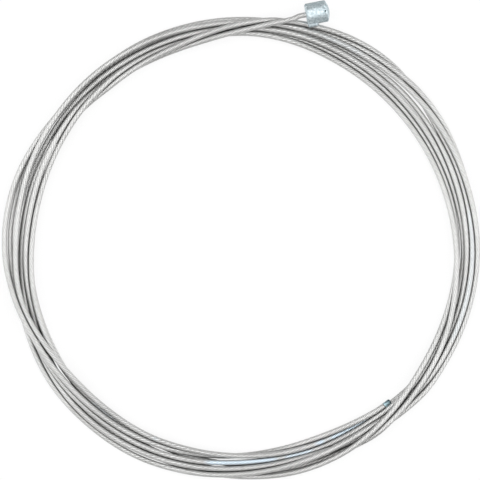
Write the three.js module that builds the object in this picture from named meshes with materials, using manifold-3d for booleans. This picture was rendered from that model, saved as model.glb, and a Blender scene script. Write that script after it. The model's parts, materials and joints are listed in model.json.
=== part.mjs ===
// A bicycle shift cable: one stainless strand with a die-cast head, wound into a flat coil.
// Millimetres, +Z up. The coil lies on the ground plane, as it would come to rest.
import * as THREE from 'three';
import * as BufferGeometryUtils from 'three/addons/utils/BufferGeometryUtils.js';
import Module from 'manifold-3d';

const wasm = await Module();
wasm.setup();

// The strand: its thickness, and the clearance between the solids that stand for it.
const cableDiameter = 1.1;
const cableClearance = 0.3;
const cableSides = 8;

// The coil: its middle radius, and the turns that lie side by side and on top of each other.
const coilRadius = 45.7;
const turnsBelow = 5;
const turnsAbove = 3;
const leastClimb = 0.95;
const mostClimb = 1.45;
const coilSegments = 60;

// The die-cast head: a short cylinder with a flat bearing face and a slightly domed far end.
const headDiameter = 4.45;
const headLength = 4.4;
const headDome = 0.45;
const headChamfer = 0.25;
const headEdgeRadius = 0.35;
const headSegments = 32;
const socketDepth = 3.2;
const socketClearance = 0.15;

// The stub that is left where the metal was fed into the mould, on the side of the head.
const gateLength = 2;
const gateWidth = 1.2;
const gateHeight = 0.3;
const gateInset = 0.25;

// Where the head lies: its bearing face from the coil's centre, the direction of its axis,
// and how far the outermost turn that it leans on lies from that axis.
const headAngle = 74.3;
const headOffset = 3.6;
const headTurn = 11;
const headSeatReach = 1.92;

// The fused end of the strand.
const tipLength = 1.5;
const tipRound = 0.3;
const tipSegments = 12;

// Inner and outer edge of the bundle of turns, from the middle radius, every 15 degrees.
const bundleEdges = [
  [-2.0, 3.4], [-2.85, 3.0], [-3.3, 3.6], [-3.5, 3.6], [-3.5, 3.5], [-2.8, 2.2],
  [-2.2, 1.6], [-3.3, 1.35], [-3.5, 1.1], [-2.9, 1.2], [-3.4, 1.8], [-3.6, 3.3],
  [-3.1, 3.7], [-2.4, 2.4], [-2.0, 2.8], [-2.7, 3.2], [-2.8, 3.4], [-3.0, 2.7],
  [-3.1, 2.1], [-2.15, 2.9], [-2.1, 2.2], [0.0, 2.5], [-1.5, 3.1], [-1.5, 3.4],
];

// The lead over the bundle: angle, distance from the middle radius, height over the turns.
const leadStraight = 1.6;
const leadSteps = 24;
const leadRoute = [
  [77.5, 2.15, 0.2], [80, 1.3, 0.36], [82.5, 0.5, 0.41], [85, -0.3, 0.44], [87.5, -1.0, 0.41],
  [90, -1.6, 0.34], [92.5, -2.0, 0.25], [95, -2.3, 0.14], [97.5, -2.6, 0.07], [100, -2.9, 0.0],
];

// The tail along the inside of the bundle: angle, and its outer side from the middle radius.
const tailSteps = 12;
const tailRoute = [
  [285, -2.55], [288, -2.65], [292, -2.7], [296, -2.65], [300, -2.45], [303, -2.2],
  [306, -1.9], [309, -1.45], [311, -1.1],
];

const cableRadius = cableDiameter / 2;
const headRadius = headDiameter / 2;
const socketRadius = cableRadius + socketClearance;
const bundleWidth = turnsBelow * cableDiameter;
const toRadians = THREE.MathUtils.degToRad;

const polar = (angle, offset, height) => {
  const turned = toRadians(angle);
  const distance = coilRadius + offset;
  return new THREE.Vector3(distance * Math.cos(turned), distance * Math.sin(turned), height);
};

const arc = (x, y, radius, from, to, steps) => Array.from({ length: steps + 1 }, (_, step) => {
  const angle = toRadians(from + (to - from) * step / steps);
  return new THREE.Vector2(x + radius * Math.cos(angle), y + radius * Math.sin(angle));
});

const steel = () => new THREE.MeshStandardMaterial({ color: 0xc4c3c0, roughness: 0.35, metalness: 1 });
const castZinc = () => new THREE.MeshStandardMaterial({ color: 0xb9c4c8, roughness: 0.45, metalness: 0.9 });
const fusedEnd = () => new THREE.MeshStandardMaterial({ color: 0xb4bec6, roughness: 0.25, metalness: 1 });

// The turns above lie in the hollows of those below, so the centres of three turns that touch
// are the corners of a triangle with equal sides.
const nestAngle = 60;
const nestHeight = cableDiameter * Math.sin(toRadians(nestAngle));

// Section of the bundle: a row of touching turns, with a shorter row nested on top of it.
function bundleSection() {
  const below = (turn) => cableDiameter * (turn + 0.5);
  const above = (turn) => cableDiameter * (turn + 1);
  const groove = 15;
  const last = turnsBelow - 1;
  const outline = [];
  for (let turn = 0; turn <= last; turn++) {
    outline.push(...arc(below(turn), cableRadius, cableRadius, 180 + groove, 360 - groove, 2));
  }
  for (let turn = last; turn >= turnsAbove; turn--) {
    const covered = turn === turnsAbove ? 180 - nestAngle : 180;
    outline.push(...arc(below(turn), cableRadius, cableRadius, groove, covered - groove, 3));
  }
  for (let turn = turnsAbove - 1; turn >= 0; turn--) {
    const from = turn === turnsAbove - 1 ? -nestAngle : 0;
    const to = turn === 0 ? 180 + nestAngle : 180;
    outline.push(...arc(above(turn), cableRadius + nestHeight, cableRadius, from + groove, to - groove, 4));
  }
  outline.push(...arc(below(0), cableRadius, cableRadius, nestAngle + groove, 180 - groove, 2));
  outline.push(outline[0].clone());
  return outline;
}

// The edges of the bundle at a part of a turn, and how far its turns climb on each other there.
const stations = bundleEdges.map(([inner, outer]) => new THREE.Vector3(inner, outer, 0));
const edgeCurve = new THREE.CatmullRomCurve3(stations, true, 'catmullrom', 0.5);
function bundleAt(turn) {
  const { x: inner, y: outer } = edgeCurve.getPoint(turn);
  const climb = THREE.MathUtils.clamp(bundleWidth / (outer - inner), leastClimb, mostClimb);
  return { inner, outer, climb };
}

// The coil: the section turned round the axis, with each vertex moved to between the edges
// that the bundle has at its angle.
function coilGeometry() {
  const section = bundleSection();
  const geometry = new THREE.LatheGeometry(section, coilSegments);
  const position = geometry.attributes.position;
  for (let vertex = 0; vertex < position.count; vertex++) {
    const turn = (Math.floor(vertex / section.length) % coilSegments) / coilSegments;
    const { x: across, y: height } = section[vertex % section.length];
    const { inner, outer, climb } = bundleAt(turn);
    const offset = inner + (across / bundleWidth) * (outer - inner);
    const place = polar(turn * 360, offset, height * climb);
    position.setXYZ(vertex, place.x, place.y, place.z);
  }
  return geometry;
}

// A plain tube along a route of chosen points.
function tubeAlong(curve, steps) {
  const section = new THREE.Shape(arc(0, 0, cableRadius, 0, 360, cableSides).slice(0, cableSides));
  return new THREE.ExtrudeGeometry(section, { steps, extrudePath: curve, bevelEnabled: false });
}

const solidOf = (geometry) => {
  const plain = geometry.clone();
  plain.deleteAttribute('normal');
  plain.deleteAttribute('uv');
  const merged = BufferGeometryUtils.mergeVertices(plain, 1e-4);
  return new wasm.Manifold(new wasm.Mesh({
    numProp: 3,
    vertProperties: new Float32Array(merged.attributes.position.array),
    triVerts: new Uint32Array(merged.index.array),
  }));
};

const geometryOf = (solid) => {
  const mesh = solid.getMesh();
  const geometry = new THREE.BufferGeometry();
  geometry.setAttribute('position', new THREE.BufferAttribute(new Float32Array(mesh.vertProperties), 3));
  geometry.setIndex(new THREE.BufferAttribute(new Uint32Array(mesh.triVerts), 1));
  geometry.computeVertexNormals();
  return geometry;
};

// The head is turned round its own Y axis, from the bearing face at 0 to the domed far end.
function headGeometry() {
  const rim = headRadius - headEdgeRadius;
  const edgeTop = headLength - headEdgeRadius;
  const domeRadius = (rim * rim + headDome * headDome) / (2 * headDome);
  const domeAngle = THREE.MathUtils.radToDeg(Math.asin(rim / domeRadius));
  const outline = [
    new THREE.Vector2(0, socketDepth),
    new THREE.Vector2(socketRadius, socketDepth),
    new THREE.Vector2(socketRadius, 0),
    new THREE.Vector2(headRadius - headChamfer, 0),
    new THREE.Vector2(headRadius, headChamfer),
    ...arc(rim, edgeTop, headEdgeRadius, 0, 90 - domeAngle, 3),
    ...arc(0, headLength + headDome - domeRadius, domeRadius, 90 - domeAngle, 90, 5).slice(1, -1),
    new THREE.Vector2(0, headLength + headDome),
  ];
  const turned = new THREE.LatheGeometry(outline, headSegments);
  const root = headRadius / 2;
  const reach = headRadius + gateHeight;
  const gateTaper = gateHeight;
  const gateShape = new THREE.Shape([
    new THREE.Vector2(root, gateInset),
    new THREE.Vector2(headRadius, gateInset),
    new THREE.Vector2(reach, gateInset + gateTaper),
    new THREE.Vector2(reach, gateInset + gateLength - gateTaper),
    new THREE.Vector2(headRadius, gateInset + gateLength),
    new THREE.Vector2(root, gateInset + gateLength),
  ]);
  const gate = new THREE.ExtrudeGeometry(gateShape, { depth: gateWidth, bevelEnabled: false });
  gate.translate(0, 0, -gateWidth / 2);
  return geometryOf(solidOf(turned).add(solidOf(gate)));
}

// The fused end is turned round its own Y axis, with a rounded far edge.
function tipGeometry() {
  const outline = [
    new THREE.Vector2(0, 0),
    new THREE.Vector2(cableRadius, 0),
    ...arc(cableRadius - tipRound, tipLength - tipRound, tipRound, 0, 90, 3),
    new THREE.Vector2(0, tipLength),
  ];
  return new THREE.LatheGeometry(outline, tipSegments);
}

function part(name, geometry, material) {
  const mesh = new THREE.Mesh(geometry, material);
  mesh.name = name;
  return mesh;
}

// The head leans on the outermost turn, with the clearance between their round sides.
const headAxis = new THREE.Vector3(Math.cos(toRadians(headTurn)), Math.sin(toRadians(headTurn)), 0);
const seatTurnHeight = cableRadius * bundleAt(headAngle / 360).climb;
const seatDistance = headRadius + cableRadius + cableClearance;
const headHeight = seatTurnHeight + Math.sqrt(seatDistance ** 2 - headSeatReach ** 2);
const bearingFace = polar(headAngle, headOffset, headHeight);
const along = (distance) => bearingFace.clone().addScaledVector(headAxis, distance);

const head = part('cable_head', headGeometry(), castZinc());
head.position.copy(bearingFace);
head.quaternion.setFromUnitVectors(new THREE.Vector3(0, 1, 0), headAxis);

const leadPlace = ([angle, offset, lift]) => {
  const bundleTop = (cableDiameter + nestHeight) * bundleAt(angle / 360).climb;
  return polar(angle, offset, bundleTop + cableRadius + lift);
};
const leadStart = [socketDepth - cableClearance, socketDepth / 2, 0, -leadStraight].map(along);
const leadPoints = [...leadStart, ...leadRoute.map(leadPlace)];
const leadCurve = new THREE.CatmullRomCurve3(leadPoints, false, 'centripetal');
const lead = part('cable_lead', tubeAlong(leadCurve, leadSteps), steel());

const coil = part('cable_coil', coilGeometry(), steel());

const tailPoints = tailRoute.map(([angle, side]) => polar(angle, side - cableRadius, cableRadius));
const tailCurve = new THREE.CatmullRomCurve3(tailPoints, false, 'centripetal');
const tail = part('cable_tail', tubeAlong(tailCurve, tailSteps), steel());

const tailEnd = tailCurve.getPoint(1);
const tailDirection = tailCurve.getTangent(1);
const tip = part('soldered_tip', tipGeometry(), fusedEnd());
tip.position.copy(tailEnd).addScaledVector(tailDirection, cableClearance);
tip.quaternion.setFromUnitVectors(new THREE.Vector3(0, 1, 0), tailDirection);

const shiftCable = new THREE.Group();
shiftCable.add(head, lead, coil, tail, tip);

// The origin is the middle of the footprint, on the ground.
const extent = new THREE.Box3().setFromObject(shiftCable);
const middle = extent.getCenter(new THREE.Vector3());
shiftCable.position.set(-middle.x, -middle.y, -extent.min.z);

export default shiftCable;
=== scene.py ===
"""A bicycle shift cable: stainless strands laid into a cable, wound in a flat coil, with a
die-cast head."""
import json
import math

import bpy
import numpy as np
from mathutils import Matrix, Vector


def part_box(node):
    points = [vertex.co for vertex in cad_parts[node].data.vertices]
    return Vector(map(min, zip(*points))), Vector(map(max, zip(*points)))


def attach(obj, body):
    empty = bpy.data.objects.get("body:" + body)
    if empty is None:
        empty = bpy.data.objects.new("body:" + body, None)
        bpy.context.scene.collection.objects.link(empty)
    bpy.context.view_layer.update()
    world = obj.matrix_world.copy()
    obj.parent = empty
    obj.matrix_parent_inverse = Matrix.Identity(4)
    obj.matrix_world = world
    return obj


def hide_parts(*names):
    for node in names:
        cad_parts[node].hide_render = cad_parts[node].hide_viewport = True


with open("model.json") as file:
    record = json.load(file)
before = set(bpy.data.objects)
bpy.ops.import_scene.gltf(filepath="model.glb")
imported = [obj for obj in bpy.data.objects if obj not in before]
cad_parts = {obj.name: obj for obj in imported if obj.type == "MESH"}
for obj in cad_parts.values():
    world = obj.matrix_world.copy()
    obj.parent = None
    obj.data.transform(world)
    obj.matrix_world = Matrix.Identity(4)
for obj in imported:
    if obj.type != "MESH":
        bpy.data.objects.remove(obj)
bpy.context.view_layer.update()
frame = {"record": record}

# Sizes in millimetres. Six strands lie round a seventh in a left-hand lay, and each strand is
# itself six wires round a seventh, laid the other way, so that its wires run along the cable.
CABLE_DIAMETER = 1.1
STRANDS = 6
STRAND_DIAMETER = CABLE_DIAMETER / 3
LAY_LENGTH = 6.54
LEFT_HAND_LAY = -1
WIRES = 6
WIRE_LAY_LENGTH = 3.1

# A strand was flattened against its neighbours: half the angle that it takes up, and the powers
# that flatten its outside and round its shoulders.
SECTOR = 28.8
FLATTENING = 0.2
ROUNDING = 0.5

# How finely the meshes are made: points in each lay, and steps round each piece.
POINTS_PER_LAY = 16
STRAND_SIDES = 10
CORE_SIDES = 8
HEAD_STEPS = 192
TIP_STEPS = 72

# The head, as the frame has it: turned round its axis from the bearing face to the domed end.
HEAD_RADIUS = 2.225
HEAD_LENGTH = 4.4
HEAD_DOME = 0.45
HEAD_CHAMFER = 0.25
HEAD_EDGE_RADIUS = 0.35
SOCKET_RADIUS = 0.6
SOCKET_DEPTH = 3.2
SOCKET_CLEARANCE = 0.3

# The gate's stub on the head's side, the fin on its parting line, and two pits, which lie this
# far from the bearing face.
GATE_LENGTH = 1.7
GATE_FOOT = 2.35
GATE_WIDTH = 1.5
GATE_HEIGHT = 0.5
FIN_HEIGHT = 0.035
FIN_WIDTH = 0.07
PIT_PLACE = 3.9

# The fused end of the cable.
TIP_LENGTH = 1.5
TIP_ROUNDING = 0.3
FLUTE_DEPTH = 0.06

# Where the bearing face lies, from the middle of the coil, and the direction of the head's axis.
COIL_RADIUS = 45.7
HEAD_ANGLE = 74.3
HEAD_OFFSET = 3.6
HEAD_TURN = 11
LEAD_STRAIGHT = 1.3
LEAD_HEIGHT = 3.02

# The lead over the bundle, close to the frame's: angle, distance from the middle radius, and
# about how many turns high it lies.
LEAD = (
    (77.5, 1.92, 2.4), (80, 1.0, 2.6), (82.5, 0.18, 2.8), (85, -0.55, 3), (87.5, -1.2, 3),
    (90, -1.72, 3), (92.5, -2.0, 2.9), (95, -2.3, 2.7), (97.5, -2.6, 2.4), (100, -2.9, 2),
)
TAIL_END = 312

# Painted shade lies this near to another turn.
SHADE_REACH = 0.3

# Stretches of the cable where a bluish reflection is painted: turn, counted from nil, first
# and last angle, and how much.
PAINTED_REFLECTIONS = (
    (2, 225, 235, 0.2), (2, 335, 370, 0.15), (3, 417, 430, 0.12), (4, 245, 247, 0.5),
    (4, 290, 294, 0.9), (4, 294, 307, 0.9), (5, 260, 280.5, 0.8), (5, 280.8, 290, 0.7),
)

# The turns from the head to the tail: angle, distance from the middle radius, and about how
# many turns high each stretch lies on the others.
TURNS = (
    # The first turn, from the head over the bundle and down its inside.
    (
        (103, -3.1, 1.4), (106, -3.22, 0.7), (110, -3.26, 0.1), (116, -3.22, 0), (122, -3.14, 0),
        (127, -2.85, 0), (131, -2.23, 0.2), (134, -1.82, 0.5), (140, -1.66, 1), (150, -1.82, 1),
        (160, -1.86, 0.6), (170, -1.82, 0.2), (175, -1.66, 0), (180, -1.47, 0), (190, -1.08, 0),
        (200, -0.52, 0), (210, 0.07, 0), (220, 0.65, 0), (230, 1.06, 0), (245, 1.12, 0), (255, 1.23, 0),
        (262, 1.39, 0), (268, 1.6, 0), (272, 1.8, 0), (277, 2.11, 0), (285, 2.3, 0.2), (290, 2.15, 0.4),
        (295, 1.93, 1.4), (300, 1.62, 2.2), (305, 1.1, 2.9), (310, 0.51, 2.9), (315, 0.01, 2.6),
        (320, -0.63, 2.0), (325, -0.92, 1.3), (330, -1.08, 0.8), (340, -1.18, 0.4), (350, -1.08, 0),
        (360, -1.1, 0), (375, -1.41, 0), (390, -1.7, 0), (405, -1.95, 0), (420, -1.86, 0),
    ),
    # The second turn.
    (
        (70, -1.72, 0), (80, -1.35, 0), (90, -1.31, 0), (105, -1.49, 0), (120, -1.57, 0),
        (135, -1.49, 0), (150, -1.45, 0), (165, -1.93, 0), (180, -2.03, 0), (190, -1.93, 0),
        (205, -1.72, 0), (212, -1.53, 0), (220, -1.08, 0), (235, -0.34, 0), (250, 0.24, 0),
        (260, 0.61, 0), (270, 0.9, 0), (280, 1.12, 0), (287, 1.27, 0.4), (295, 1.45, 1.1),
        (300, 1.58, 1.7), (305, 1.64, 2.0), (310, 1.6, 2.0), (315, 1.35, 1.9), (320, 1.02, 1.6),
        (325, 0.81, 1.4),
        (330, 0.65, 1.4), (335, 0.34, 1.5), (340, 0.07, 1.6), (345, -0.4, 1.7), (350, -0.87, 1.7),
        (355, -1.12, 1.5), (360, -1.41, 1.2), (365, -1.72, 1), (370, -2.03, 0.8), (375, -2.28, 0.5),
        (380, -2.44, 0.3), (390, -2.69, 0), (405, -2.96, 0), (420, -2.89, 0),
    ),
    # The third turn.
    (
        (70, -2.48, 0), (80, -2.05, 0.5), (88, -1.74, 1), (100, -1.86, 1.2), (110, -1.93, 1.2),
        (120, -2.17, 1.3), (130, -2.38, 2), (140, -2.58, 1.8), (150, -2.91, 1), (160, -3.06, 0.3),
        (170, -2.98, 0), (180, -2.65, 0.3), (190, -2.05, 0.8), (200, -1.62, 1), (205, -1.41, 1),
        (210, -1.25, 0.8), (217, -1.25, 0.8), (225, -1.41, 0.8), (235, -1.49, 0.6), (245, -1.41, 0),
        (255, -1.16, 0), (265, -0.83, 0), (275, -0.46, 0), (285, -0.07, 0), (295, 0.4, 0),
        (302, 0.77, 0), (310, 1.27, 0), (315, 1.52, 0), (320, 1.68, 0.2), (325, 1.89, 0.3),
        (335, 1.84, 0.3), (345, 1.93, 0.3), (360, 1.87, 0.3), (375, 1.6, 0.2), (380, 1.43, 0),
        (390, 1.27, 0), (397, 1.78, 0), (403, 2.5, 0), (410, 3.08, 0), (420, 2.92, 0),
    ),
    # The fourth turn.
    (
        (70, 2.22, 0), (75, 1.74, 0.1), (80, 1.37, 0.5), (84, 0.96, 1), (90, -0.07, 1.8), (95, -0.9, 2),
        (100, -1.72, 2), (105, -2.38, 1.9), (110, -2.91, 1.6), (115, -3.02, 1.3), (120, -3.06, 1.2),
        (126, -3.02, 1.1), (131, -2.98, 0.8), (135, -2.77, 0.4), (140, -2.36, 0), (148, -1.9, 0),
        (155, -1.51, 0.3), (165, -1.2, 0.5), (170, -1.04, 0.5), (175, -0.79, 0.5), (180, -0.54, 0.5),
        (185, -0.3, 0.5), (190, 0.01, 0.4), (195, 0.3, 0.2), (200, 0.65, 0), (205, 1.06, 0),
        (210, 1.47, 0), (215, 1.74, 0.2), (220, 1.93, 0.3), (230, 1.84, 0.4), (240, 1.54, 0.5),
        (250, 1.14, 0.5), (260, 0.61, 0.5), (270, 0.03, 0.5), (280, -0.34, 0.3), (286, -0.4, 0.2),
        (292, -0.17, 0.5), (298, 0.3, 0.9), (304, 0.95, 1.0), (310, 1.55, 0.9), (315, 1.95, 0.5),
        (320, 2.22, 0.4), (325, 2.36, 0.4), (330, 2.5, 0.4), (340, 2.77, 0.4), (350, 2.94, 0.5),
        (360, 2.87, 0.6), (375, 2.5, 0.9), (380, 2.44, 1), (390, 2.09, 1), (405, 1.52, 1), (420, 0.9, 1),
    ),
    # The fifth turn.
    (
        (75, 0.65, 1), (90, 0.34, 1), (95, 0.2, 1), (100, 0.22, 1), (105, 0.36, 1), (110, 0.51, 1),
        (120, 0.59, 1), (135, 0.67, 1), (145, 0.69, 1), (155, 0.75, 0.8), (165, 0.65, 0.7),
        (175, 0.57, 0.9), (180, 0.61, 1), (185, 0.86, 1.2), (190, 1.1, 1.7), (193, 1.23, 2),
        (196, 0.98, 2), (200, 0.4, 2), (205, -0.4, 2), (210, -1.16, 1.8), (215, -1.7, 1.2),
        (220, -1.99, 0.7), (225, -2.19, 0.3), (232, -2.32, 0), (240, -2.28, 0.2), (250, -2.28, 0.8),
        (255, -2.42, 1), (260, -2.54, 1), (265, -2.6, 1), (270, -2.56, 1), (275, -2.46, 1),
        (280, -2.36, 0.8), (285, -2.28, 0.5), (292, -2.17, 0.3), (300, -1.97, 0.2), (306, -1.66, 0),
        (310, -1.33, 0), (315, -0.79, 0), (320, -0.22, 0), (325, 0.4, 0), (330, 0.98, 0),
        (335, 1.33, 0.2), (340, 1.27, 0.5), (345, 1.14, 0.8), (350, 1.02, 0.9), (360, 0.86, 0.9),
        (370, 0.59, 0.6), (380, 0.42, 0.3), (390, 0.3, 0.3), (405, 0.3, 0.3), (420, -0.17, 0.3),
    ),
    # The sixth turn.
    (
        (75, 0.03, 0), (90, 0.03, 0), (105, -0.07, 0), (120, 0.24, 0), (130, 0.44, 0), (140, 0.65, 0),
        (148, 0.9, 0), (155, 1.23, 0), (160, 1.47, 0.3), (165, 1.74, 0.3), (170, 1.9, 0.3),
        (175, 2.0, 0.3), (180, 1.95, 0.4), (185, 1.74, 0.8), (190, 1.6, 1.2), (195, 1.43, 1.2),
        (200, 1.23, 1.1), (205, 0.96, 1), (210, 0.71, 0.9), (215, 0.65, 0.8), (220, 0.57, 0.8),
        (225, 0.44, 0.8), (230, 0.34, 0.8), (240, 0.28, 0.8), (250, -0.03, 0.9), (257, -0.38, 1),
        (262, -0.75, 1), (265, -1, 1), (270, -1.2, 0.9), (275, -1.37, 0.8), (280, -1.31, 0.8),
        (285, -1.2, 0.7), (290, -1.04, 0.7), (300, -1.04, 0.6), (305, -0.92, 0.7), (309, -0.58, 0.9),
        (312, -0.32, 1), (316, -0.2, 1), (320, -0.11, 0.9), (325, -0.15, 0.9), (330, -0.22, 0.8),
        (335, -0.2, 0.4), (342, 0.05, 0.1), (350, 0.3, 0), (360, 0.3, 0), (367, 0, 0),
        (375, -0.4, 0.1), (390, -1, 0.2), (405, -1.02, 0.3), (420, -0.87, 0.3),
    ),
    # The seventh turn.
    (
        (75, -0.69, 0.7), (90, -0.9, 0.8), (105, -1.1, 0.9), (120, -0.96, 0.8), (135, -0.69, 0.7),
        (150, -0.38, 0.5), (160, -0.19, 0.3), (165, -0.09, 0.2), (170, 0.07, 0.1), (180, 0.44, 0),
        (190, 1.06, 0), (200, 1.62, 0), (205, 1.91, 0), (210, 2.3, 0.1), (215, 2.57, 0.2),
        (220, 2.65, 0.3), (230, 2.71, 0.4), (240, 2.81, 0.6), (245, 2.73, 0.8), (250, 2.48, 1),
        (255, 2.15, 1.2), (260, 1.89, 1.3), (265, 1.58, 1.4), (270, 1.21, 1.4), (275, 0.86, 1.3),
        (280, 0.57, 1.2), (285, 0.3, 1.1), (290, 0.09, 1), (300, -0.07, 0.8), (307, -0.12, 0.6),
        (313, 0.42, 0), (320, 0.6, 0), (330, 1.27, 0), (340, 1.89, 0), (350, 2.22, 0),
        (360, 2.36, 0), (370, 2.42, 0), (378, 2.55, 0), (385, 2.73, 0.2), (390, 3.04, 0.5),
        (395, 3.1, 0.8), (400, 2.92, 1), (405, 2.69, 1.1), (410, 2.36, 1.1), (420, 1.8, 0.8),
    ),
    # The last turn, which ends in the tail.
    (
        (70, 1.25, 0.2), (80, 1.1, 0), (90, 1, 0), (105, 0.86, 0), (115, 0.71, 0), (125, 0.61, 0),
        (140, 0.57, 0), (147, 0.75, 0.2), (150, 1.12, 0.5), (155, 1.8, 0.7), (160, 2.38, 0.7),
        (165, 2.79, 0.5), (170, 2.97, 0.3), (175, 3.1, 0.3), (180, 3.08, 0.3), (185, 2.92, 0.5),
        (190, 2.34, 0.9), (195, 1.89, 1.3), (200, 1.35, 1.6), (205, 0.73, 1.7), (210, 0.36, 1.7),
        (215, 0.03, 1.6), (220, -0.17, 1.5), (225, -0.38, 1.4), (230, -0.54, 1.4), (237, -0.75, 1.3),
        (243, -1.04, 1.1), (250, -1.53, 0.7), (255, -1.78, 0.4), (260, -1.99, 0.2), (265, -2.23, 0),
        (270, -2.52, 0), (275, -2.77, 0), (280, -2.98, 0), (285, -3.07, 0), (290, -3.1, 0),
        (295, -3.0, 0), (300, -2.75, 0.1), (304, -2.4, 0.3), (308, -1.88, 0.5), (312, -1.2, 0.6),
    ),
)

# How the turns settle: how far apart they start, in diameters for each turn of height, how far
# they sink at a step, how stiff they are, how strongly they are drawn back to their stations,
# how near their middles may come, in diameters, how much of a push goes sideways, and how many
# points at the head stay where they are.
POINTS_PER_TURN = 720
STARTING_SPREAD = 1.25
SETTLING_STEPS = 400
SINKING = 0.004
STIFFNESS_UPRIGHT = 0.25
STIFFNESS_SIDEWAYS = 0.15
DRAWN_BACK = 0.06
NEAREST = 0.995
PUSHED_SIDEWAYS = 0.6
HELD_POINTS = 3

# The photograph is square, and shows this width from straight above. Its middle lies this far
# from the middle of the coil.
VIEW_WIDTH = 98.9
VIEW_MIDDLE = (-0.21, 1.24)
CAMERA_HEIGHT = 450
SENSOR_WIDTH = 36

MILLIMETRE = 0.001
LAMP_DISTANCE = 0.7

MIX = {"data_type": "RGBA"}
TINT = {"data_type": "RGBA", "blend_type": "MULTIPLY"}


def smooth_curve(places, stations, values):
    """Value at each place of a smooth curve through the stations: cubic pieces whose slope at a
    station is the mean of the slopes beside it, each weighted by the span of the other."""
    spans = np.diff(stations)
    chords = np.diff(values) / spans
    slopes = np.empty_like(values)
    slopes[1:-1] = (chords[:-1] * spans[1:] + chords[1:] * spans[:-1]) / (spans[1:] + spans[:-1])
    slopes[0] = chords[0]
    slopes[-1] = chords[-1]
    piece = np.clip(np.searchsorted(stations, places) - 1, 0, len(spans) - 1)
    span = spans[piece]
    along = (places - stations[piece]) / span
    rise = along * along * (3 - 2 * along)
    return (
        (1 - rise) * values[piece]
        + rise * values[piece + 1]
        + along * (1 - along) ** 2 * span * slopes[piece]
        - along * along * (1 - along) * span * slopes[piece + 1]
    )


def settle_turns():
    """Angle, radius and height of the cable's middle, every half degree from lead to tail.

    The stations give each turn's radius and about how high it lies. Then the turns sink, a
    little at each step. Where two turns of the same angle come closer than a diameter, in the
    plane of radius and height, both move apart along the line between them, and no turn sinks
    through the ground. Each height and radius also moves towards the mean of its neighbours
    along the cable, because the cable is springy.
    """
    stations = list(LEAD)
    for turn, places in enumerate(TURNS):
        stations += [(angle + 360 * turn, offset, level) for angle, offset, level in places]
    angles, offsets, levels = np.array(sorted(stations), dtype=float).T
    last = (len(TURNS) - 1) * 360 + TAIL_END
    count = int(round((last - LEAD[0][0]) * POINTS_PER_TURN / 360)) + 1
    angle = LEAD[0][0] + np.arange(count) * 360 / POINTS_PER_TURN
    wanted = COIL_RADIUS + smooth_curve(angle, angles, offsets)
    radius = wanted.copy()
    half = CABLE_DIAMETER / 2
    level = np.clip(smooth_curve(angle, angles, levels), 0, None)
    height = half + STARTING_SPREAD * CABLE_DIAMETER * level
    for _ in range(SETTLING_STEPS):
        height -= SINKING
        for reach in (7, 2, 1):
            mean = (height[2 * reach:] + height[:-2 * reach]) / 2
            height[reach:-reach] += STIFFNESS_UPRIGHT * (mean - height[reach:-reach])
            mean = (radius[2 * reach:] + radius[:-2 * reach]) / 2
            radius[reach:-reach] += STIFFNESS_SIDEWAYS * (mean - radius[reach:-reach])
        radius += DRAWN_BACK * (wanted - radius)
        for apart in range(POINTS_PER_TURN, count, POINTS_PER_TURN):
            outward = radius[apart:] - radius[:-apart]
            upward = height[apart:] - height[:-apart]
            distance = np.hypot(outward, upward) + 1e-9
            push = np.clip(CABLE_DIAMETER * NEAREST - distance, 0, None) / (2 * distance)
            radius[:-apart] -= PUSHED_SIDEWAYS * push * outward
            radius[apart:] += PUSHED_SIDEWAYS * push * outward
            height[:-apart] -= push * upward
            height[apart:] += push * upward
        height = np.maximum(height, half)
        height[:HELD_POINTS] = LEAD_HEIGHT
        radius[:HELD_POINTS] = wanted[:HELD_POINTS]
    return angle, radius, height


def polar(angle, radius, height):
    """Points at the angles in degrees round the middle of the coil."""
    turned = np.radians(angle)
    return np.stack([radius * np.cos(turned), radius * np.sin(turned), height], axis=-1)


def unit(vectors):
    """Each vector divided by its length."""
    return vectors / np.linalg.norm(vectors, axis=-1, keepdims=True)


def evenly(points, step):
    """Points at equal steps of length along the smooth curve through the given points."""
    lengths = np.concatenate([[0], np.cumsum(np.linalg.norm(np.diff(points, axis=0), axis=1))])
    places = np.linspace(0, lengths[-1], int(round(lengths[-1] / step)) + 1)
    return places, np.stack([smooth_curve(places, lengths, column) for column in points.T], axis=-1)


def directions(points):
    """Along, across and over each point of a line that never stands upright."""
    along = unit(np.gradient(points, axis=0))
    across = unit(np.cross([0, 0, 1], along))
    return along, across, np.cross(along, across)


def ring_faces(rings, sides, first=0):
    """Quads between neighbouring rings, and a face over each end."""
    ring, side = np.meshgrid(np.arange(rings - 1), np.arange(sides), indexing="ij")
    corner = first + ring * sides
    following = (side + 1) % sides
    quads = [corner + side, corner + following, corner + sides + following, corner + sides + side]
    start = list(range(first + sides - 1, first - 1, -1))
    end = list(range(first + (rings - 1) * sides, first + rings * sides))
    return np.stack(quads, axis=-1).reshape(-1, 4).tolist() + [start, end]


def ring_uvs(lengths, sides):
    """For each corner of ring_faces: how far round, from 0 to 1, and millimetres along."""
    ring, side = np.meshgrid(np.arange(len(lengths) - 1), np.arange(sides), indexing="ij")
    around = np.stack([side, side + 1, side + 1, side], axis=-1) / sides
    along = np.stack([lengths[ring], lengths[ring], lengths[ring + 1], lengths[ring + 1]], axis=-1)
    return np.concatenate([np.stack([around, along], axis=-1).reshape(-1), np.zeros(4 * sides)])


def put_mesh(name, points, faces, material, smooth=True):
    """A mesh object of the points in millimetres, in the frame's metres."""
    mesh = bpy.data.meshes.new(name)
    mesh.from_pydata((np.asarray(points).reshape(-1, 3) * MILLIMETRE).tolist(), [], faces)
    mesh.polygons.foreach_set("use_smooth", [smooth] * len(mesh.polygons))
    mesh.materials.append(material)
    piece = bpy.data.objects.new(name, mesh)
    bpy.context.scene.collection.objects.link(piece)
    return piece


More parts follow.
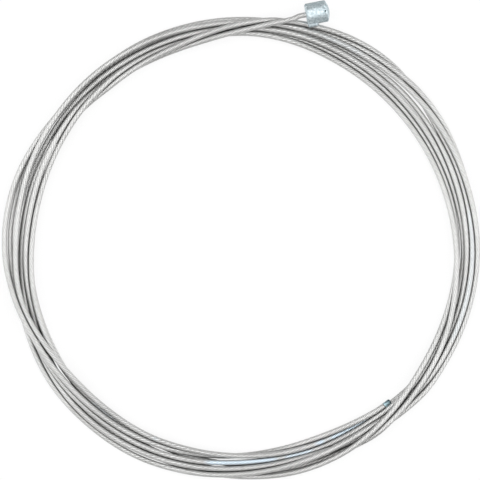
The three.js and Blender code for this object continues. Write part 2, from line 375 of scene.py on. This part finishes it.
def set_attribute(piece, name, values):
    """Store a number or a vector at each point of the piece, where its material reads it."""
    vectors = values.size == 3 * len(piece.data.vertices)
    kind, field = ("FLOAT_VECTOR", "vector") if vectors else ("FLOAT", "value")
    piece.data.attributes.new(name, kind, "POINT").data.foreach_set(field, values.reshape(-1))


def colour(code):
    """Linear red, green, blue and alpha of an sRGB hex value."""
    parts = [int(code[place:place + 2], 16) / 255 for place in (1, 3, 5)]
    linear = [part / 12.92 if part <= 0.04045 else ((part + 0.055) / 1.055) ** 2.4 for part in parts]
    return (*linear, 1)


def node(material, kind, settings=None, *values, **inputs):
    """A new node with its settings, and its inputs, by place or by name, set to values or linked
    to sockets."""
    made = material.node_tree.nodes.new(kind)
    for key, value in (settings or {}).items():
        setattr(made, key, value)
    named = [(key.replace("_", " "), value) for key, value in inputs.items()]
    for place, value in (*enumerate(values), *named):
        if isinstance(value, bpy.types.NodeSocket):
            material.node_tree.links.new(value, made.inputs[place])
        else:
            made.inputs[place].default_value = value
    return made


def new_material(name):
    """A node material with no nodes."""
    material = bpy.data.materials.new(name)
    material.use_nodes = True
    material.node_tree.nodes.clear()
    return material


def pattern_scale(size):
    """The scale of a pattern whose marks are this many millimetres apart."""
    return 1 / (size * MILLIMETRE)


def stainless_strand():
    """Stainless steel wires, cold drawn and laid up bare: grey, with a soft dull shine that
    spreads across the wires.

    Across each wire, the dip is (2 w - 1)^2, where w runs from 0 to 1 over the wire, so the
    seams between wires are low. Shade is painted into them, a little, and much more into the
    grooves between strands, towards the inside of the cable. The grain is drawn 0.7 mm
    coarse, because the real one is too fine to show, over a broad unevenness of 11 mm. The
    attribute painted_reflection is 1 where a bluish reflection is painted on the cable,
    turn_shade is 1 where shade is painted between the turns, and around points across the wires.
    """
    material = new_material("stainless_strand")
    place = node(material, "ShaderNodeTexCoord").outputs
    strand = node(material, "ShaderNodeSeparateXYZ", Vector=place["UV"]).outputs
    laid = node(
        material, "ShaderNodeMath", {"operation": "MULTIPLY"}, strand["Y"], WIRES / WIRE_LAY_LENGTH
    ).outputs["Value"]
    wires = node(
        material, "ShaderNodeMath", {"operation": "MULTIPLY_ADD"}, strand["X"], WIRES, laid
    ).outputs["Value"]
    over_wire = node(material, "ShaderNodeMath", {"operation": "FRACT"}, wires).outputs["Value"]
    off_middle = node(
        material, "ShaderNodeMath", {"operation": "SUBTRACT"}, over_wire, 0.5
    ).outputs["Value"]
    square = node(
        material, "ShaderNodeMath", {"operation": "MULTIPLY"}, off_middle, off_middle
    ).outputs["Value"]
    dip = node(material, "ShaderNodeMath", {"operation": "MULTIPLY"}, square, 4.0).outputs["Value"]
    seam_shade = node(material, "ShaderNodeMath", {"operation": "POWER"}, dip, 3.0).outputs["Value"]
    # Half on the outside of the cable, and nil where the strand meets the core.
    from_core = node(
        material, "ShaderNodeMath", {"operation": "SUBTRACT"}, strand["X"], 0.5
    ).outputs["Value"]
    outward = node(
        material, "ShaderNodeMath", {"operation": "ABSOLUTE"}, from_core
    ).outputs["Value"]
    # Painted shade in the grooves between strands, towards the inside of the cable.
    groove_shade = node(
        material, "ShaderNodeMapRange", Value=outward, From_Min=0.38, From_Max=0.28, To_Max=0.12
    ).outputs["Result"]
    grain = node(
        material, "ShaderNodeTexNoise", Vector=place["Object"], Scale=pattern_scale(0.7143), Detail=3
    ).outputs["Fac"]
    streak = node(
        material, "ShaderNodeTexNoise", Vector=place["Object"], Scale=pattern_scale(11.11), Detail=2
    ).outputs["Fac"]
    painted_reflection = node(material, "ShaderNodeAttribute", {"attribute_name": "painted_reflection"}).outputs["Fac"]
    turn_shade = node(material, "ShaderNodeAttribute", {"attribute_name": "turn_shade"}).outputs["Fac"]
    around = node(material, "ShaderNodeAttribute", {"attribute_name": "around"}).outputs["Vector"]
    tone = node(
        material, "ShaderNodeMix", MIX, Factor=grain, A=colour("#CCCCCB"), B=colour("#F0F0EF")
    ).outputs["Result"]
    tone = node(
        material, "ShaderNodeMix", TINT, Factor=streak, A=tone, B=colour("#D2D2D1")
    ).outputs["Result"]
    # Painted shade: a little in the seams between wires, near black in the grooves between strands.
    tone = node(
        material, "ShaderNodeMix", MIX, Factor=seam_shade, A=tone, B=colour("#B0B0B0")
    ).outputs["Result"]
    tone = node(
        material, "ShaderNodeMix", MIX, Factor=groove_shade, A=tone, B=colour("#3C3B3A")
    ).outputs["Result"]
    # Painted reflection: a bluish white over the listed stretches, on the upper side of the cable.
    tone = node(
        material, "ShaderNodeMix", MIX, Factor=painted_reflection, A=tone, B=colour("#D9E9F4")
    ).outputs["Result"]
    # Painted shade: near black where another turn of the coil is near, and in the depth between turns.
    tone = node(
        material, "ShaderNodeMix", MIX, Factor=turn_shade, A=tone, B=colour("#302F2E")
    ).outputs["Result"]
    rough = node(
        material, "ShaderNodeMapRange", Value=grain, To_Min=0.32, To_Max=0.44
    ).outputs["Result"]
    bump = node(
        material, "ShaderNodeBump", Height=dip, Strength=0.06, Distance=-0.00003
    ).outputs["Normal"]
    shader = node(
        material, "ShaderNodeBsdfPrincipled",
        Base_Color=tone, Roughness=rough, Metallic=1.0, Normal=bump, Anisotropic=0.75,
        Tangent=around,
    )
    node(material, "ShaderNodeOutputMaterial", Surface=shader.outputs["BSDF"])
    return material


def cast_zinc():
    """Zinc alloy as it leaves the die: greenish grey, satin, with a mottled, finely pitted skin.

    The mottling is 0.4 mm coarse and the clouds 1.1 mm, a little more than the real skin's, so
    that they show. The attribute head_shade is 1 where shade is painted, in the pits and along
    one flank.
    """
    material = new_material("cast_zinc")
    place = node(material, "ShaderNodeTexCoord").outputs["Object"]
    cloud = node(
        material, "ShaderNodeTexNoise", Vector=place, Scale=pattern_scale(1.111), Detail=3
    ).outputs["Fac"]
    mottle = node(
        material, "ShaderNodeTexNoise", Vector=place, Scale=pattern_scale(0.3846), Detail=5
    ).outputs["Fac"]
    spread = node(
        material, "ShaderNodeMapRange", Value=mottle, From_Min=0.36, From_Max=0.64
    ).outputs["Result"]
    head_shade = node(material, "ShaderNodeAttribute", {"attribute_name": "head_shade"}).outputs["Fac"]
    tone = node(
        material, "ShaderNodeMix", MIX, Factor=spread, A=colour("#C4D0D4"), B=colour("#EFF6FA")
    ).outputs["Result"]
    tone = node(
        material, "ShaderNodeMix", TINT, Factor=cloud, A=tone, B=colour("#CBD5D7")
    ).outputs["Result"]
    # Painted shade along one flank and in the pits.
    tone = node(
        material, "ShaderNodeMix", MIX, Factor=head_shade, A=tone, B=colour("#5D6B6E")
    ).outputs["Result"]
    rough = node(
        material, "ShaderNodeMapRange", Value=cloud, To_Min=0.4, To_Max=0.62
    ).outputs["Result"]
    bump = node(
        material, "ShaderNodeBump", Height=mottle, Strength=0.3, Distance=0.00004
    ).outputs["Normal"]
    shader = node(
        material, "ShaderNodeBsdfPrincipled",
        Base_Color=tone, Roughness=rough, Metallic=1.0, Normal=bump,
    )
    node(material, "ShaderNodeOutputMaterial", Surface=shader.outputs["BSDF"])
    return material


def fused_steel():
    """The wires' ends, fused together and tinned: smooth, with painted shade that darkens it
    towards the very end. The attribute tip_shade is 0 at the bare cable and 1 at the end. The
    grain is 0.4 mm coarse, so that it shows."""
    material = new_material("fused_steel")
    place = node(material, "ShaderNodeTexCoord").outputs["Object"]
    grain = node(
        material, "ShaderNodeTexNoise", Vector=place, Scale=pattern_scale(0.4), Detail=3
    ).outputs["Fac"]
    tip_shade = node(material, "ShaderNodeAttribute", {"attribute_name": "tip_shade"}).outputs["Fac"]
    tone = node(
        material, "ShaderNodeMix", MIX, Factor=grain, A=colour("#7D99A1"), B=colour("#B4CBD1")
    ).outputs["Result"]
    # Painted shade, darkening towards the tip's end.
    tone = node(
        material, "ShaderNodeMix", MIX, Factor=tip_shade, A=tone, B=colour("#1F2E33")
    ).outputs["Result"]
    shader = node(
        material, "ShaderNodeBsdfPrincipled", Base_Color=tone, Roughness=0.26, Metallic=1.0
    )
    node(material, "ShaderNodeOutputMaterial", Surface=shader.outputs["BSDF"])
    return material


def white_surface():
    """White table. The camera and reflections see 0.85 parts of plain white in it, so that
    shadows still show, and to all other rays it is white paint."""
    material = new_material("white_surface")
    paint = node(material, "ShaderNodeBsdfDiffuse", Color=colour("#F4F4F4")).outputs["BSDF"]
    plain = node(
        material, "ShaderNodeEmission", Color=colour("#FFFFFF"), Strength=1.0
    ).outputs["Emission"]
    rays = node(material, "ShaderNodeLightPath").outputs
    seen = node(
        material, "ShaderNodeMath", {"operation": "MAXIMUM"},
        rays["Is Camera Ray"], rays["Is Glossy Ray"],
    ).outputs["Value"]
    seen = node(
        material, "ShaderNodeMath", {"operation": "MAXIMUM"}, seen, rays["Is Transmission Ray"]
    ).outputs["Value"]
    share = node(
        material, "ShaderNodeMath", {"operation": "MULTIPLY"}, seen, 0.85
    ).outputs["Value"]
    mix = node(material, "ShaderNodeMixShader", None, share, paint, plain)
    node(material, "ShaderNodeOutputMaterial", Surface=mix.outputs["Shader"])
    return material


def place_camera(middle):
    """The camera looks straight down, as the photograph was taken."""
    camera = bpy.data.cameras.new("camera")
    camera.sensor_width = SENSOR_WIDTH
    camera.sensor_fit = "HORIZONTAL"
    camera.lens = SENSOR_WIDTH * CAMERA_HEIGHT / VIEW_WIDTH
    camera.clip_start = 0.01
    camera.clip_end = 10
    eye = bpy.data.objects.new("camera", camera)
    height = CAMERA_HEIGHT + CABLE_DIAMETER
    eye.location = [part * MILLIMETRE for part in (*(middle + VIEW_MIDDLE), height)]
    bpy.context.scene.collection.objects.link(eye)
    bpy.context.scene.camera = eye


def place_light(name, direction, deep, wide, watts):
    """A soft lamp that looks at the coil from a direction, so deep in the upright plane of that
    direction and so wide across it, in metres."""
    lamp = bpy.data.lights.new(name, "AREA")
    lamp.shape = "RECTANGLE"
    lamp.size = deep
    lamp.size_y = wide
    lamp.energy = watts
    holder = bpy.data.objects.new(name, lamp)
    toward = unit(np.array(direction, dtype=float))
    holder.location = toward * LAMP_DISTANCE
    holder.rotation_euler = (0, math.acos(toward[2]), math.atan2(toward[1], toward[0]))
    bpy.context.scene.collection.objects.link(holder)


def light_scene():
    """Soft studio light: a pale world, a narrow lamp above that runs from north to south, and two
    broad ones in the east and the west."""
    world = bpy.data.worlds.new("studio")
    world.use_nodes = True
    background = world.node_tree.nodes["Background"]
    background.inputs["Color"].default_value = colour("#FFFFFF")
    background.inputs["Strength"].default_value = 0.28
    bpy.context.scene.world = world
    place_light("above", (0, 0.03, 1), deep=1.2, wide=0.2, watts=2.0)
    place_light("east", (1, 0, 0.8), deep=1.0, wide=1.1, watts=4.7)
    place_light("west", (-1, 0, 0.8), deep=1.0, wide=1.1, watts=4.7)


def cable_line(face, axis):
    """Length along the middle line of the cable, and its points, from inside the head to the
    tail, at equal steps."""
    places = (SOCKET_DEPTH - SOCKET_CLEARANCE, SOCKET_DEPTH / 2, 0, -LEAD_STRAIGHT)
    start = np.array([face + axis * place for place in places])
    coil = polar(*settle_turns())
    return evenly(np.concatenate([start, coil]), LAY_LENGTH / POINTS_PER_LAY)


def along_coil(line):
    """Angle in degrees, which grows by 360 a turn, radius and height of each point of the line."""
    angle = np.degrees(np.unwrap(np.arctan2(line[:, 1], line[:, 0])))
    return angle, np.hypot(line[:, 0], line[:, 1]), line[:, 2]


def painted_reflection_along(line):
    """How strong the painted bluish reflection is at each point of its line: the stretch's
    amount, and down to nil over two degrees at each end."""
    angle, _, _ = along_coil(line)
    bright = np.zeros(len(line))
    for turn, start, end, amount in PAINTED_REFLECTIONS:
        inside = np.minimum(angle - start - 360 * turn, end + 360 * turn - angle)
        bright = np.maximum(bright, amount * np.clip(inside / 2, 0, 1))
    return bright


def painted_shade_between_turns(rings, line):
    """How much shade is painted at each point of the rings round the line.

    The painted shade lies where another turn of the coil is near. It is 1 where the surfaces
    touch and falls to nil SHADE_REACH away from that turn: 1 - (d - D / 2) / reach, where d is
    the distance to the middle of the other turn and D the cable's diameter.

    Shade is also painted in the depth between two turns. A turn at a distance o to one side,
    whose middle is u below the point, counts as (0.2 - u) / 0.8 times (1.3 - o) / 0.5, each of
    them from 0 to 1, and the lesser of the two sides counts by 0.9.
    """
    angle, radius, height = along_coil(line)
    from_middle = np.hypot(rings[..., 0], rings[..., 1])
    nearest = np.full(from_middle.shape, 99.0)
    walls = {1: np.zeros(from_middle.shape), -1: np.zeros(from_middle.shape)}
    for turns in range(-len(TURNS), len(TURNS) + 1):
        other = angle + 360 * turns
        there = ((other > angle[0]) & (other < angle[-1]) & (turns != 0))[:, None]
        outward = from_middle - np.interp(other, angle, radius)[:, None]
        upward = rings[..., 2] - np.interp(other, angle, height)[:, None]
        nearest = np.where(there, np.minimum(nearest, np.hypot(outward, upward)), nearest)
        wall = np.clip((0.2 - upward) / 0.8, 0, 1) * np.clip((1.3 - np.abs(outward)) / 0.5, 0, 1)
        for side in walls:
            beside = there & (outward * side > 0)
            walls[side] = np.where(beside, np.maximum(walls[side], wall), walls[side])
    near = np.clip(1 - (nearest - CABLE_DIAMETER / 2) / SHADE_REACH, 0, 1)
    return np.maximum(near, 0.9 * np.minimum(walls[1], walls[-1]))


def flattened_rings(line, across, over, turned):
    """Rings of one outer strand. The cable was drawn through a die, which flattened its strands
    against each other and gave it a nearly smooth outside.

    At t round the strand, the ring lies STRAND_DIAMETER * (1 + c / 2) from the cable's middle
    and SECTOR * s to the side of the strand's own angle, where c and s are the cosine and sine
    of t with their signs kept, c raised to the power FLATTENING and s to the power ROUNDING.
    """
    steps = np.arange(STRAND_SIDES) * 2 * math.pi / STRAND_SIDES
    upright = np.sign(np.cos(steps)) * np.abs(np.cos(steps)) ** FLATTENING
    sideways = np.sign(np.sin(steps)) * np.abs(np.sin(steps)) ** ROUNDING
    distance = STRAND_DIAMETER * (1 + upright / 2)
    angle = turned[:, None] + math.radians(SECTOR) * sideways
    out = np.cos(angle)[..., None] * across[:, None] + np.sin(angle)[..., None] * over[:, None]
    return line[:, None] + distance[None, :, None] * out


def outer_strand(number, line, middle, lengths, painted_reflection, material):
    """One strand of the six, whose angle round the cable's line turns once in each lay length.
    The painted reflection lies only on its upper side, from 0.45 to 0.8 of the way up the
    cable's half."""
    along, across, over = directions(line)
    turned = LEFT_HAND_LAY * 2 * math.pi * lengths / LAY_LENGTH + number * 2 * math.pi / STRANDS
    rings = flattened_rings(line, across, over, turned)
    faces = ring_faces(len(line), STRAND_SIDES)
    piece = put_mesh(f"outer_strand_{number + 1}", rings + middle, faces, material)
    uvs = ring_uvs(lengths, STRAND_SIDES)
    piece.data.uv_layers.new(name="wires").data.foreach_set("uv", uvs)
    risen = (rings[..., 2] - line[:, None, 2]) / (CABLE_DIAMETER / 2)
    # Painted reflection, only on the upper side of the cable.
    set_attribute(piece, "painted_reflection", painted_reflection[:, None] * np.clip((risen - 0.45) / 0.35, 0, 1))
    # Painted shade where another turn is near, and in the depth between turns.
    set_attribute(piece, "turn_shade", painted_shade_between_turns(rings, line))
    set_attribute(piece, "around", unit(np.cross(along[:, None], rings - line[:, None])))
    return piece


def core_strand(line, middle, lengths, material):
    """The strand in the middle, which the six lie round: a ring at every second point."""
    _, across, over = directions(line[::2])
    steps = (np.arange(CORE_SIDES) * 2 * math.pi / CORE_SIDES)[None, :, None]
    out = np.cos(steps) * across[:, None] + np.sin(steps) * over[:, None]
    rings = line[::2, None] + STRAND_DIAMETER / 2 * out
    faces = ring_faces(len(rings), CORE_SIDES)
    piece = put_mesh("core_strand", rings + middle, faces, material)
    uvs = ring_uvs(lengths[::2], CORE_SIDES)
    piece.data.uv_layers.new(name="wires").data.foreach_set("uv", uvs)
    return piece


def revolve(profile, steps, relief):
    """Points of a profile (distance along, radius) turned round the first axis, standing off by
    the relief, with one point at each end where the radius is nil, and faces that close it."""
    turned = np.arange(steps) * 2 * math.pi / steps
    along = np.repeat(profile[1:-1, 0, None], steps, axis=1)
    radius = np.repeat(profile[1:-1, 1, None], steps, axis=1)
    radius = radius + relief(along, radius, turned[None, :])
    rings = np.stack([along, radius * np.cos(turned), radius * np.sin(turned)], axis=-1)
    first, last = [[profile[0, 0], 0, 0]], [[profile[-1, 0], 0, 0]]
    points = np.concatenate([first, rings.reshape(-1, 3), last])
    final = len(points) - 1
    side = np.arange(steps)
    following = (side + 1) % steps
    start = np.stack([np.zeros_like(side), 1 + following, 1 + side], axis=-1)
    end = final - steps + np.stack([np.full_like(side, steps), side, following], axis=-1)
    quads = ring_faces(len(profile) - 2, steps, 1)[:-2]
    return points, quads + start.tolist() + end.tolist()


def arc(centre, radius, start, end, count):
    """Points of an arc in the plane of distance along and radius, angles in degrees."""
    turned = np.radians(np.linspace(start, end, count))
    along = centre[0] + radius * np.sin(turned)
    return np.stack([along, centre[1] + radius * np.cos(turned)], axis=-1)


def stretch(start, end, count):
    """Points of a straight stretch in the plane of distance along and radius."""
    return np.stack([np.linspace(*pair, count) for pair in zip(start, end)], axis=-1)


def head_profile():
    """The head's outline: socket, bearing face, bevel, side, rounded edge and dome."""
    rim = HEAD_RADIUS - HEAD_EDGE_RADIUS
    dome = (rim * rim + HEAD_DOME * HEAD_DOME) / (2 * HEAD_DOME)
    lean = math.degrees(math.asin(rim / dome))
    shoulder = HEAD_RADIUS - HEAD_CHAMFER
    edge = HEAD_LENGTH - HEAD_EDGE_RADIUS
    return np.concatenate([
        [[SOCKET_DEPTH, 0], [SOCKET_DEPTH, SOCKET_RADIUS]],
        [[0.05, SOCKET_RADIUS], [0, SOCKET_RADIUS + 0.05]],
        stretch((0, SOCKET_RADIUS), (0, shoulder), 18)[2:-1],
        stretch((0, shoulder), (HEAD_CHAMFER, HEAD_RADIUS), 6),
        stretch((HEAD_CHAMFER, HEAD_RADIUS), (edge, HEAD_RADIUS), 64)[1:-1],
        arc((edge, rim), HEAD_EDGE_RADIUS, 0, 90 - lean, 12),
        arc((HEAD_LENGTH + HEAD_DOME - dome, 0), dome, 90 - lean, 90, 26)[1:],
    ])


def round_distance(turned, angle):
    """Millimetres round the head's side from the angle, less than half a turn either way."""
    return np.angle(np.exp(1j * (turned - angle))) * HEAD_RADIUS


def head_relief(along, radius, turned):
    """How far the cast surface stands off the turned one.

    That is the thin fin of the parting line along the top and bottom, two pits near its far
    end, the stub of the gate, which slopes down to its foot, and the unevenness of the skin, a
    sum of sines along and around.
    """
    outer = (radius > HEAD_RADIUS * 0.9) & (along > 0)
    top = round_distance(turned, math.pi / 2)
    bottom = round_distance(turned, -math.pi / 2)
    side = round_distance(turned, -math.pi)
    fin = FIN_HEIGHT * (np.exp(-(top / FIN_WIDTH) ** 2) + np.exp(-(bottom / FIN_WIDTH) ** 2))
    fin = fin * (0.7 + 0.3 * np.sin(along * 7.1) * np.sin(along * 3.3 + 1))
    pit = -0.3 * np.exp(-((along - PIT_PLACE) ** 2 + (top - 0.2) ** 2) / 0.16 ** 2)
    dent = -0.12 * np.exp(-((along - PIT_PLACE) / 0.2) ** 2 - ((top + 0.55) / 0.3) ** 2)
    slope = np.clip((GATE_FOOT - along) / (GATE_FOOT - GATE_LENGTH), 0, 1)
    gate = GATE_HEIGHT * slope / (1 + (2 * np.abs(side) / GATE_WIDTH) ** 8)
    wave = 0.008 * np.sin(turned * 5 + along * 2.3) + 0.006 * np.sin(turned * 9 - along * 3.7)
    wave = wave + 0.006 * np.sin(turned * 17 + along * 6.1) * np.sin(along * 8.3 - turned * 3)
    return np.where(outer, fin + pit + dent + gate + wave, 0)


def head_painted_shade(points):
    """How much shade is painted on the casting: up to 0.7 along the flank away from the gate, 1 in
    one pit and 0.6 in the other."""
    along, beside, over = points.T
    flank = 0.7 * np.clip((beside / HEAD_RADIUS - 0.6) / 0.4, 0, 1) ** 1.5
    pit = np.exp(-((along - PIT_PLACE) ** 2 + (beside + 0.2) ** 2) / 0.14 ** 2)
    dent = 0.6 * np.exp(-((along - PIT_PLACE) / 0.16) ** 2 - ((beside + 0.75) / 0.25) ** 2)
    return np.clip(flank + (pit + dent) * (over > 0), 0, 1)


def cast_head(face, axis, material):
    """The head: its outline turned round the axis, with the relief of the casting."""
    points, faces = revolve(head_profile(), HEAD_STEPS, head_relief)
    upright = np.array([0, 0, 1.0])
    placed = face + points @ np.stack([axis, np.cross(upright, axis), upright])
    piece = put_mesh("cast_head", placed, faces, material)
    # Painted shade on the head, along one flank and in the pits.
    set_attribute(piece, "head_shade", head_painted_shade(points))
    return piece


def tip_flutes(along, _, turned):
    """How far the tip's side lies under its round: shallow flutes that follow the strands and
    fade out towards the end."""
    lay = LEFT_HAND_LAY * 2 * math.pi * along / LAY_LENGTH
    depth = FLUTE_DEPTH * np.clip(1 - along / TIP_LENGTH, 0, 1)
    return -depth * (1 - np.abs(np.cos(STRANDS / 2 * (turned - lay))))


def cable_tip(line, material):
    """The fused end of the cable: a short tube with a rounded end and shallow flutes."""
    axis = unit(line[-1] - line[-3])
    half = CABLE_DIAMETER / 2
    body = TIP_LENGTH - TIP_ROUNDING
    profile = np.concatenate([
        [[0, 0]],
        stretch((0, half), (body, half), 12),
        arc((body, half - TIP_ROUNDING), TIP_ROUNDING, 0, 90, 8)[1:],
        [[TIP_LENGTH, 0]],
    ])
    points, faces = revolve(profile, TIP_STEPS, tip_flutes)
    beside = unit(np.cross([0, 0, 1], axis))
    placed = line[-1] + points @ np.stack([axis, beside, np.cross(axis, beside)])
    piece = put_mesh("cable_tip", placed, faces, material)
    # Painted shade along the tip, darkest at its end.
    set_attribute(piece, "tip_shade", np.clip(points[:, 0] / TIP_LENGTH, 0, 1) ** 1.5)
    return piece


def lay_floor():
    """The white table under the coil, four metres each way."""
    half = 2000
    corners = [[-half, -half, 0], [half, -half, 0], [half, half, 0], [-half, half, 0]]
    put_mesh("floor", corners, [[0, 1, 2, 3]], white_surface(), smooth=False)


# The bearing face is the frame's mount, and the mount's point lies straight above its middle.
mount = frame["record"]["mounts"][0]
head_box = np.array(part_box("cable_head")) / MILLIMETRE
face_middle = np.array([*np.array(mount["pos_m"][:2]) / MILLIMETRE, head_box[:, 2].mean()])
head_axis = np.array([math.cos(math.radians(HEAD_TURN)), math.sin(math.radians(HEAD_TURN)), 0])
coil_middle = face_middle - polar(HEAD_ANGLE, COIL_RADIUS + HEAD_OFFSET, face_middle[2])

place_camera(coil_middle[:2])
lengths, line = cable_line(face_middle - coil_middle, head_axis)
painted_reflection = painted_reflection_along(line)
middle = np.array([*coil_middle[:2], 0])

steel = stainless_strand()
strands = [outer_strand(number, line, middle, lengths, painted_reflection, steel) for number in range(STRANDS)]
core = core_strand(line, middle, lengths, steel)
line = line + middle
tip = cable_tip(line, fused_steel())
head = cast_head(face_middle, head_axis, cast_zinc())

for piece in (*strands, core, tip, head):
    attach(piece, "root")
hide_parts("cable_lead", "cable_coil", "cable_tail")
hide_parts("soldered_tip")
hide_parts("cable_head")

lay_floor()
light_scene()
bpy.context.scene.view_settings.view_transform = "Standard"
